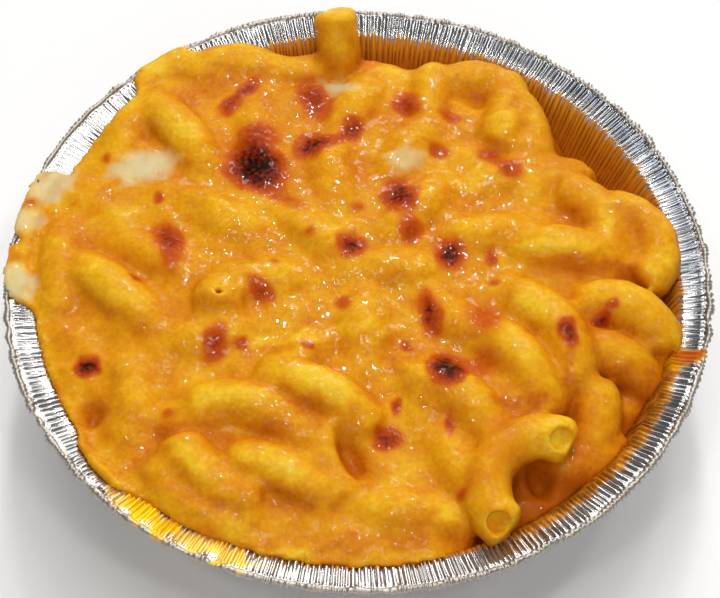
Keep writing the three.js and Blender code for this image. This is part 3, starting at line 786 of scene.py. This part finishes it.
def cheese_heap(material):
    """The food: the nought surface of heap_field, open on the lowest layer of cells and closed there by one
    flat face. Its rise sets how pale the cheese is: a half, plus how far a point stands above the mean height
    round it, how level the surface is, what the golden and ruddy places add or take, and the thin edge. Paler
    where it stands high or lies level and darker in hollows and on steep sides is partly thin and thick
    cheese and partly painted light and painted shade."""
    reach = RIM_RADIUS + NET_MARGIN
    low = np.array([-reach, -reach, FOOD_FLOOR])
    high = np.array([reach, reach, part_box("macaroni_heap")[1].z / MM + NET_MARGIN])
    axes = [np.arange(a, b + NET_PITCH, NET_PITCH) for a, b in zip(low, high)]
    elbows = {name: make_elbow(*row) for name, row in ELBOWS.items()}
    elbows.update({f"buried_{i}": buried_elbow(i) for i in range(BURIED)})
    field = heap_field(axes, elbows)
    fill_diagonals(field)
    points, quads, cells = surface_net(field, low, NET_PITCH)
    points[points[:, 2] < FOOD_FLOOR + NET_PITCH, 2] = FOOD_FLOOR
    highest = field.shape[2] - 1 - np.argmax(field[:, :, ::-1] < 0, 2)
    full = full_level(np.hypot(*np.meshgrid(*axes[:2], indexing="ij")))
    top = np.where((field < 0).any(2), np.maximum(axes[2][highest], full - RISE_CUT), full)
    mean = blurred(top, round(MEAN_REACH / NET_PITCH))[cells[:, 0], cells[:, 1]]
    slopes = np.stack([slope[tuple(cells.T)] for slope in np.gradient(field)], 1)
    level = slopes[:, 2] / np.maximum(np.linalg.norm(slopes, axis=1), 1e-6)
    x, y, z = points.T
    # Golden places are partly painted light, ruddy ones partly painted shade.
    golden_lit, ruddy_shaded = (patches(rows, x, y, ragged=0.8, full=0.3) for rows in (GOLDEN_LIT, RUDDY_SHADED))
    # Standing above the mean round it and lying level make a point paler: painted light on tops, painted
    # shade in hollows and on steep sides.
    stands = np.clip((z - mean) / RISE_HEIGHT, *RISE_LIMITS)
    facing = FACING_SHARE * (np.maximum(level, FACING_LEAST) - FACING_MIDDLE)
    tint = golden_lit - RUDDY_SHARE * ruddy_shaded
    rim = RIM_SHARE[0] + RIM_SHARE[1] * ripples((x, y), wavelength=9.0, seed=32)
    rim = rim * smoothstep(np.hypot(x, y), *RIM_BAND)
    attributes = {
        "browned": patches(BROWNED, x, y, ragged=0.35, gone=1.7),
        "creamy": patches(CREAMY, x, y, ragged=0.8, full=0.4),
        "rise_and_shade": np.clip(0.5 + stands + facing + TINT_SHARE * tint + rim, 0, 1),
        "crusted": crusted(x, y),
    }
    return make_piece("cheese_heap", points, quads, attributes, material, open_ring(quads))


# ---------------------------------------------------------------- the foil dish

def foil_profile():
    """Stations of the dish's section, from the floor's middle up the inside, over the rolled edge and back
    down the outside: radius, height, share of the pleats' depth, and where the underside faces in degrees."""
    wall_lean = math.degrees(math.atan2(BRIM_RADIUS - BASE_RADIUS, BRIM_HEIGHT - CORNER_RADIUS))
    brim_lean = 90 - math.degrees(math.atan2(BRIM_END[1] - BRIM_HEIGHT, BRIM_END[0] - BRIM_RADIUS))
    centre = BASE_RADIUS - CORNER_RADIUS
    inner = [(radius, FOIL, 0.0, -90.0) for radius in FLOOR_RINGS]
    for turn in np.linspace(0, 90 - wall_lean, CORNER_STATIONS):
        t = math.radians(turn)
        radius, height = centre + CORNER_RADIUS * math.sin(t), FOIL + CORNER_RADIUS * (1 - math.cos(t))
        inner.append((radius, height, CORNER_SHARE * turn / 90, turn - 90))
    foot = inner[-1]
    for t in np.linspace(0, 1, WALL_STATIONS)[1:-1]:
        radius, height = foot[0] + t * (BRIM_RADIUS - foot[0]), foot[1] + t * (BRIM_HEIGHT - foot[1])
        inner.append((radius, height, WALL_SHARE[0] + WALL_SHARE[1] * t, -wall_lean))
    for t in np.linspace(0, 1, WALL_STATIONS):
        radius = BRIM_RADIUS + t * (BRIM_END[0] - BRIM_RADIUS)
        height = BRIM_HEIGHT + t * (BRIM_END[1] - BRIM_HEIGHT) - BRIM_SAG * math.sin(math.pi * t)
        facing = -(wall_lean + brim_lean) / 2 if t == 0 else -brim_lean
        inner.append((radius, height, BRIM_SHARE[0] - BRIM_SHARE[1] * t, facing))
    bead = []
    for facing in BEAD_TURNS:
        t = math.radians(facing)
        radius, height = BEAD[0] + BEAD_RADIUS * math.cos(t), BEAD[1] + BEAD_RADIUS * math.sin(t)
        bead.append((radius, height, BEAD_SHARE, facing))
    outer = []
    for radius, height, share, facing in reversed(inner):
        t = math.radians(facing)
        share = min(OUTER_SHARE[0] * share, OUTER_SHARE[1])
        outer.append((radius + FOIL * math.cos(t), height + FOIL * math.sin(t), share, facing))
    return np.array(inner + bead + outer), slice(len(inner), len(inner) + len(bead))


def crimped_foil_dish(material):
    """The profile carried round the axis. Column 4p + q is step q of pleat p: its angle is the pleat's own
    start plus a share of its width, and its offset along the profile's facing is the pleat's depth times its
    lift, one narrow crease and a plateau that tips to a side. The pleats lean sideways by a slant that
    wanders round the dish, and the rolled edge is crumpled by lumps a few pleats wide.

    Low is how far inside the edge of the baked fat a point lies, which ends in a tooth on each pleat; the
    wall's orange there is baked fat and also a painted reflection of the food. Creased is a crease, where
    that fat is charred and darkened as painted shade, and rolled is the rolled edge. The grey of one side of
    the brim, a painted shade on its reflections, grows from the bend out, and goes with the fifth power of
    how near a point is to that side."""
    draw = np.random.default_rng(seed=5)
    stations, bead_rows = foil_profile()
    widths = draw.uniform(*PLEAT_WIDTHS, PLEATS)
    starts = 2 * math.pi * np.concatenate([[0], np.cumsum(widths)[:-1]]) / widths.sum()
    widths *= 2 * math.pi / widths.sum()
    later = [draw.uniform(a, a + COLUMN_SPREAD, PLEATS) for a in COLUMN_STARTS]
    steps = np.stack([np.zeros(PLEATS), *later], 1)
    lift = np.stack([draw.uniform(*limits, PLEATS) for limits in COLUMN_LIFTS], 1).ravel()
    angle = (starts[:, None] + steps * widths[:, None]).ravel()
    around = (np.cos(angle), np.sin(angle))
    slant = SLANT[0] * ripples(around, wavelength=0.8, seed=41) + SLANT[1]
    radius, height, share, facing = stations.T[:, :, None]
    level = np.clip((height - SLANT_FOOT) / (BEAD[1] - SLANT_FOOT), 0, 1.05)
    turned = angle + slant * (level - SLANT_HEIGHT) * SLANT_REACH
    crumple = (np.cos(turned) * radius, np.sin(turned) * radius, height * np.ones_like(turned))
    crushed = CRUSHED[0] + CRUSHED[1] * np.cos(angle - CRUSHED_SIDE)
    crease = np.clip(crushed + CRUSHED_WANDER * ripples(crumple, wavelength=5.0, seed=42), *CREASE_LIMITS)
    offset = -PLEAT_DEPTH * share * lift * crease
    lumps = CRUMPLE[0] * ripples(crumple, wavelength=3.2, seed=44, waves=13) - CRUMPLE[1]
    offset[bead_rows] += lumps[bead_rows]
    rim_share = smoothstep(radius, BRIM_RADIUS, BEAD[0])
    dent = DENT[0] * ripples(around, wavelength=0.45, seed=43) - DENT[1]
    way = np.radians(facing)
    r = np.minimum(radius + offset * np.cos(way) + rim_share * dent * DENT_OUT, RIM_RADIUS)
    h = np.clip(height + offset * np.sin(way) + rim_share * dent * DENT_UP, 0, DISH_HEIGHT)
    from_greasy = np.abs(np.degrees(np.arctan2(around[1], around[0])) - GREASY_SIDE)
    greasy = 1 - smoothstep(from_greasy, *GREASY_WIDTH)
    teeth = np.outer(draw.uniform(*TEETH, PLEATS), TOOTH).ravel() + GREASY_CLIMB * greasy
    creased = 1 - smoothstep(lift, CHARRED_AND_SHADED_LIFTS[0], CHARRED_AND_SHADED_LIFTS[1] + GREASY_CHAR_AND_SHADE * greasy)
    outside = np.arange(len(stations))[:, None] >= bead_rows.start
    rings, columns = r.shape
    grid = np.arange(rings * columns).reshape(rings, columns)
    beside = np.roll(grid, -1, 1)
    quads = [np.stack([grid[:-1], grid[1:], beside[1:], beside[:-1]], 2).reshape(-1, 4)]
    points = np.stack([r * np.cos(turned), r * np.sin(turned), h], 2).reshape(-1, 3)
    points = np.concatenate([points, [[0, 0, FOIL], [0, 0, 0]]])
    for ring, pole, flip in ((grid[0], len(points) - 2, 1), (grid[-1], len(points) - 1, -1)):
        first, second = ring.reshape(-1, 2).T
        fan = np.stack([first, second, np.roll(first, -1)][::flip], 1)
        quads.append(np.insert(fan, 0, pole, 1))
    x, y, z = points.T
    out = np.hypot(x, y)
    shade_side = 0.5 + 0.5 * np.cos(np.arctan2(y, x) - SHADED_SIDE)
    shade_edge = out + ripples((x, y), wavelength=9.0, seed=45)
    attributes = {
        "filmed": patches(FILMED, x, y, ragged=1.5, full=0.7, gone=1.25) * (z > BRIM_HEIGHT - FILM_DEPTH),
        "dripped": patches(DRIPPED, x, y, ragged=1.1),
        "low": np.append(np.where(outside, -BEAD_RADIUS, BRIM_RADIUS + teeth - r).ravel(), [1, -1]),
        "creased": np.append(np.tile(creased, rings), [0, 0]),
        "rolled": smoothstep(out, BRIM_END[0] - BEND, BRIM_END[0] + BEND),
        "shaded_brim": shade_side**SHADE_POWER * smoothstep(shade_edge, BRIM_RADIUS, SHADE_RADIUS),
    }
    return make_piece("crimped_foil_dish", points, np.concatenate(quads), attributes, material)


# ---------------------------------------------------------------- materials

def colour(code):
    """An sRGB hex value as linear red, green, blue and alpha."""
    shares = [int(code[i : i + 2], 16) / 255 for i in (1, 3, 5)]
    return [s / 12.92 if s <= 0.04045 else ((s + 0.055) / 1.055) ** 2.4 for s in shares] + [1.0]


def node(tree, kind, inputs=(), stops=(), **settings):
    """Adds a node with its settings. An input that is given a socket is linked to it, and any other is set.
    The stops of a colour ramp are its first, its last and those between."""
    made = tree.nodes.new(kind)
    for key, value in settings.items():
        setattr(made, key, value)
    for key, value in dict(inputs).items():
        if isinstance(value, bpy.types.NodeSocket):
            tree.links.new(value, made.inputs[key])
        else:
            made.inputs[key].default_value = value
    for i, (place, code) in enumerate(stops):
        stop = made.color_ramp.elements[i] if i < 2 else made.color_ramp.elements.new(place)
        stop.position, stop.color = place, colour(code)
    return made


def new_material(name):
    """A material without nodes, and its tree."""
    made = bpy.data.materials.new(name)
    made.use_nodes = True
    made.node_tree.nodes.clear()
    return made, made.node_tree


def melted_cheese():
    """Cheddar sauce baked on pasta: translucent fat and protein, so the light goes a few millimetres in and
    comes back deeper orange, satin, under a broken film of butterfat that glints in specks."""
    made, tree = new_material("melted_cheddar_sauce")
    place = node(tree, "ShaderNodeTexCoord").outputs["Object"]
    given = {
        key: node(tree, "ShaderNodeAttribute", attribute_name=key).outputs["Fac"]
        for key in ("browned", "creamy", "rise_and_shade", "crusted")
    }
    # Width in millimetres and detail of the forms: clouds where the sauce pooled, the stringy lumps of grated
    # cheese, specks of curd, and drops of fat that ran together.
    sizes_mm = {"cloud": (9.0, 2.0), "vein": (2.4, 3.0), "speck": (0.8, 4.0), "fat": (1.5, 2.0)}
    noise = {
        key: node(tree, "ShaderNodeTexNoise", {
            "Vector": place, "Scale": 1 / (size * MM), "Detail": detail,
        }).outputs["Fac"]
        for key, (size, detail) in sizes_mm.items()
    }

    # The sauce is orange where it lies deep and yellow where it rises, mottled by lumps of three sizes.
    # Through
    #     # the rise, the yellow of raised and level parts is partly painted light, and the orange of hollows
    #     and steep
    #     # sides partly painted shade.
    height = given["rise_and_shade"]
    for key, share in (("cloud", 0.6), ("vein", 0.3), ("speck", 0.42)):
        height = node(tree, "ShaderNodeMath", {
            0: noise[key], 1: share, 2: height,
        }, operation="MULTIPLY_ADD").outputs[0]
    depth = node(tree, "ShaderNodeMapRange", {"Value": height, "From Min": 0.71, "From Max": 1.61})
    sauce = node(tree, "ShaderNodeValToRGB", {"Fac": depth.outputs["Result"]}, [
        (0.10, "#BC6008"), (0.92, "#ECC02C"), (0.32, "#CF780C"), (0.52, "#DA8E0C"), (0.72, "#E4A514"),
    ])

    torn = node(tree, "ShaderNodeMath", {
        0: noise["vein"], 1: 0.3, 2: given["creamy"],
    }, operation="MULTIPLY_ADD")
    cream = node(tree, "ShaderNodeMapRange", {"Value": torn.outputs[0], "From Min": 0.3, "From Max": 1.25})
    pale = node(tree, "ShaderNodeMix", {
        "Factor": cream.outputs["Result"], 6: sauce.outputs["Color"], 7: colour("#DACA9A"),
    }, data_type="RGBA")

    # Browned cheese goes from orange through red-brown to char, and breaks up into flecks.
    flecked = node(tree, "ShaderNodeMath", {0: noise["speck"], 1: 0.9, 2: 0.5}, operation="MULTIPLY_ADD")
    scorch = node(tree, "ShaderNodeMath", {0: given["browned"], 1: flecked.outputs[0]}, operation="MULTIPLY")
    toast = node(tree, "ShaderNodeValToRGB", {"Fac": scorch.outputs[0]}, [
        (0.05, "#D27A0C"), (1.0, "#1E0803"), (0.28, "#C8620A"), (0.52, "#B64808"), (0.72, "#922E06"),
        (0.88, "#551504"),
    ])
    cover = node(tree, "ShaderNodeMapRange", {"Value": scorch.outputs[0], "From Min": 0.03, "From Max": 0.32})
    skin = node(tree, "ShaderNodeMix", {
        "Factor": cover.outputs["Result"], 6: pale.outputs[2], 7: toast.outputs["Color"],
    }, data_type="RGBA")

    pits = node(tree, "ShaderNodeMath", {0: noise["speck"], 1: given["crusted"]}, operation="MULTIPLY")
    lumps = node(tree, "ShaderNodeBump", {"Strength": 0.5, "Distance": 0.4 * MM, "Height": noise["vein"]})
    grain = node(tree, "ShaderNodeBump", {
        "Strength": 0.5, "Distance": 0.16 * MM, "Height": pits.outputs[0], "Normal": lumps.outputs["Normal"],
    })

    # The fat lies in beads, each tipped its own way, so that single beads flash. Real ones are about 0.1 mm
    # across, which is too fine to show, so they are drawn several times as coarse.
    beads = node(tree, "ShaderNodeTexVoronoi", {"Vector": place, "Scale": 1 / (GLINT_SIZE * MM)})
    tilts = node(tree, "ShaderNodeVectorMath", {
        0: beads.outputs["Color"], 1: (0.5, 0.5, 0.5),
    }, operation="SUBTRACT")
    smooth = node(tree, "ShaderNodeNewGeometry").outputs["Normal"]
    turned = node(tree, "ShaderNodeVectorMath", {
        0: tilts.outputs[0], 1: (GLINT_TILT, GLINT_TILT, GLINT_TILT), 2: smooth,
    }, operation="MULTIPLY_ADD")
    facets = node(tree, "ShaderNodeVectorMath", {0: turned.outputs[0]}, operation="NORMALIZE")
    drops = node(tree, "ShaderNodeMapRange", {"Value": noise["fat"], "From Min": 0.54, "From Max": 0.58})
    spread = node(tree, "ShaderNodeMath", {0: given["crusted"], 1: 0.6, 2: 0.35}, operation="MULTIPLY_ADD")
    fat = node(tree, "ShaderNodeMath", {
        0: drops.outputs["Result"], 1: spread.outputs[0],
    }, operation="MULTIPLY")

    sheen = node(tree, "ShaderNodeMath", {0: noise["vein"], 1: 0.3, 2: 0.3}, operation="MULTIPLY_ADD")
    shader = node(tree, "ShaderNodeBsdfPrincipled", {
        "Base Color": skin.outputs[2],
        "Roughness": sheen.outputs[0],
        "Normal": grain.outputs["Normal"],
        "Specular IOR Level": 0.07,
        "Subsurface Weight": 0.35,
        "Subsurface Radius": (2.8 * MM, 1.3 * MM, 0.4 * MM),
        "Subsurface Scale": 1.0,
        "Coat Weight": fat.outputs[0],
        "Coat Roughness": 0.05,
        "Coat Normal": facets.outputs[0],
    })
    node(tree, "ShaderNodeOutputMaterial", {"Surface": shader.outputs["BSDF"]})
    return made


def pleated_foil():
    """Soft-temper aluminium, pressed and pleated: bright metal whose small creases break the light into sharp
    stripes, with a skin of dried cheese on the brim in places and of baked fat on the wall. The wall's orange
    is partly a painted reflection of the food, the creases' brown partly painted shade, and one side of the
    brim is greyed as painted shade."""
    made, tree = new_material("soft_aluminium_foil")
    place = node(tree, "ShaderNodeTexCoord").outputs["Object"]
    given = {
        key: node(tree, "ShaderNodeAttribute", attribute_name=key).outputs["Fac"]
        for key in ("filmed", "dripped", "low", "creased", "rolled", "shaded_brim")
    }
    # Handling leaves wrinkles about 0.5 mm wide and dents of about a pleat or two.
    fine, broad = (
        node(tree, "ShaderNodeTexNoise", {
            "Vector": place, "Scale": 1 / (size * MM), "Detail": 3.0,
        }).outputs["Fac"]
        for size in (0.5, 2.4)
    )
    under = node(tree, "ShaderNodeMapRange", {"Value": given["low"], "From Min": -0.5, "From Max": 0.5})
    low = under.outputs["Result"]
    spotted = node(tree, "ShaderNodeMapRange", {"Value": broad, "From Min": 0.3, "From Max": 0.55})
    creased = node(tree, "ShaderNodeMath", {
        0: spotted.outputs["Result"], 1: given["creased"],
    }, operation="MULTIPLY")
    charred_and_shaded = node(tree, "ShaderNodeMath", {0: low, 1: creased.outputs[0]}, operation="MULTIPLY").outputs[0]
    covers = [
        (given["shaded_brim"], "#84888E"),  # painted shade: greys the brim's reflections on one side
        (given["rolled"], "#B4ACA2"),  # the rolled edge, matt from the press
        (low, "#D68E1E"),  # baked fat, and a painted reflection of the orange food on the wall
        (charred_and_shaded, "#8A5014"),  # the same, charred and painted darker as shade in the creases
        (given["filmed"], "#FFC400"),  # a thin film of cheese
        (given["dripped"], "#C0520C"),  # a drip of sauce
    ]
    tint = colour("#BEBCB9")
    for share, code in covers:
        tint = node(tree, "ShaderNodeMix", {
            "Factor": share, 6: tint, 7: colour(code),
        }, data_type="RGBA").outputs[2]
    bump = node(tree, "ShaderNodeBump", {"Strength": 0.08, "Distance": 0.1 * MM, "Height": fine})
    bump = node(tree, "ShaderNodeBump", {
        "Strength": 0.15, "Distance": 0.3 * MM, "Height": broad, "Normal": bump.outputs["Normal"],
    })
    rough = node(tree, "ShaderNodeMath", {0: low, 1: 0.15, 2: 0.22}, operation="MULTIPLY_ADD")
    rough = node(tree, "ShaderNodeMath", {
        0: given["rolled"], 1: 0.25, 2: rough.outputs[0],
    }, operation="MULTIPLY_ADD")

    # Fat, film and drip aren't metal, and mirror the light in the fat's own yellow. On the wall, the orange
    #     # left by this is partly a painted reflection of the food.
    skins = node(tree, "ShaderNodeMath", {
        0: given["filmed"], 1: 0.7, 2: given["dripped"],
    }, operation="MULTIPLY_ADD")
    baked_and_painted_reflection = node(tree, "ShaderNodeMath", {0: low, 1: 0.7, 2: skins.outputs[0]}, operation="MULTIPLY_ADD")
    metal = node(tree, "ShaderNodeMath", {0: 1.0, 1: baked_and_painted_reflection.outputs[0]}, operation="SUBTRACT", use_clamp=True)
    fatty = node(tree, "ShaderNodeMix", {
        "Factor": baked_and_painted_reflection.outputs[0], 6: colour("#FFFFFF"), 7: colour("#C8780C"),
    }, data_type="RGBA", clamp_factor=True)
    shader = node(tree, "ShaderNodeBsdfPrincipled", {
        "Base Color": tint,
        "Metallic": metal.outputs[0],
        "Roughness": rough.outputs[0],
        "Specular Tint": fatty.outputs[2],
        "Normal": bump.outputs["Normal"],
    })
    node(tree, "ShaderNodeOutputMaterial", {"Surface": shader.outputs["BSDF"]})
    return made


def matt_paper():
    """White paper: its fibres scatter all light, so it shows no gloss."""
    made, tree = new_material("matt_white_paper")
    shader = node(tree, "ShaderNodeBsdfPrincipled", {
        "Base Color": colour("#FBFAF8"), "Roughness": 0.9, "Specular IOR Level": 0.1,
    })
    node(tree, "ShaderNodeOutputMaterial", {"Surface": shader.outputs["BSDF"]})
    return made


# ---------------------------------------------------------------- stage

def paper_floor(material):
    """A flat square of 4 metres a side on a coarse grid."""
    side = np.linspace(-PAPER_HALF, PAPER_HALF, 9)
    x, y = np.meshgrid(side, side, indexing="ij")
    points = np.stack([x, y, np.full(x.shape, -PAPER_GAP)], 2).reshape(-1, 3)
    grid = np.arange(x.size).reshape(x.shape)
    quads = np.stack([grid[:-1, :-1], grid[1:, :-1], grid[1:, 1:], grid[:-1, 1:]], 2).reshape(-1, 4)
    return make_piece("paper_floor", points, quads, {}, material)


def area_light(name, place, width, power, depth=None):
    """A flat lamp that faces the food: round, or an oval where its depth is given."""
    lamp = bpy.data.lights.new(name, "AREA")
    lamp.shape, lamp.size, lamp.size_y, lamp.energy = "ELLIPSE", width, depth or width, power
    made = bpy.data.objects.new(name, lamp)
    made.location = place
    made.rotation_euler = (Vector(LAMP_AIM) - Vector(place)).to_track_quat("-Z", "Y").to_euler()
    bpy.context.scene.collection.objects.link(made)


def make_camera():
    """Looks down along +Y at the middle of the food, rolled slightly."""
    distance = CAMERA_DISTANCE * MM
    elevation, roll = math.radians(CAMERA_ELEVATION), math.radians(CAMERA_ROLL)
    target = np.array(CAMERA_TARGET) * MM
    forward = np.array([0, math.cos(elevation), -math.sin(elevation)])
    level = np.array([1.0, 0, 0])
    upward = np.cross(level, forward)
    right = level * math.cos(roll) + upward * math.sin(roll)
    up = upward * math.cos(roll) - level * math.sin(roll)
    made = bpy.data.objects.new("camera", bpy.data.cameras.new("camera"))
    made.data.lens = CAMERA_LENS
    made.data.sensor_width = 36
    made.data.clip_start, made.data.clip_end = 0.01, 20
    turn = Matrix(np.stack([right, up, -forward], 1).tolist()).to_4x4()
    made.matrix_world = Matrix.Translation(target - forward * distance) @ turn
    bpy.context.scene.collection.objects.link(made)
    bpy.context.scene.camera = made


def soft_world():
    """A dim grey room with light walls and a darker ceiling, so that the foil has both to mirror."""
    world = bpy.data.worlds.new("grey_room")
    bpy.context.scene.world = world
    world.use_nodes = True
    tree = world.node_tree
    tree.nodes.clear()
    way = node(tree, "ShaderNodeTexCoord").outputs["Generated"]
    height = node(tree, "ShaderNodeSeparateXYZ", {"Vector": way}).outputs["Z"]
    shade = node(tree, "ShaderNodeValToRGB", {"Fac": height}, [
        (0.0, "#C4C4C6"), (1.0, "#606062"), (0.5, "#B4B4B6"), (0.75, "#6C6C6E"),
    ])
    back = node(tree, "ShaderNodeBackground", {"Color": shade.outputs["Color"], "Strength": 0.55})
    node(tree, "ShaderNodeOutputWorld", {"Surface": back.outputs["Background"]})


# ---------------------------------------------------------------- the whole

heap = cheese_heap(melted_cheese())
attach(heap, "root")
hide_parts("macaroni_heap")

dish = crimped_foil_dish(pleated_foil())
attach(dish, "root")
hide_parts("foil_dish")

paper_floor(matt_paper())
soft_world()
for name, lamp in LAMPS.items():
    area_light(name, *lamp)
for i, turn in enumerate(RING_TURNS):
    angle = math.radians(turn)
    place = (RING_REACH * math.cos(angle), RING_REACH * math.sin(angle), RING_HEIGHT)
    area_light(f"ring_lamp_{i}", place, RING_WIDTH, RING_POWER)
make_camera()
bpy.context.scene.view_settings.view_transform = "Standard"
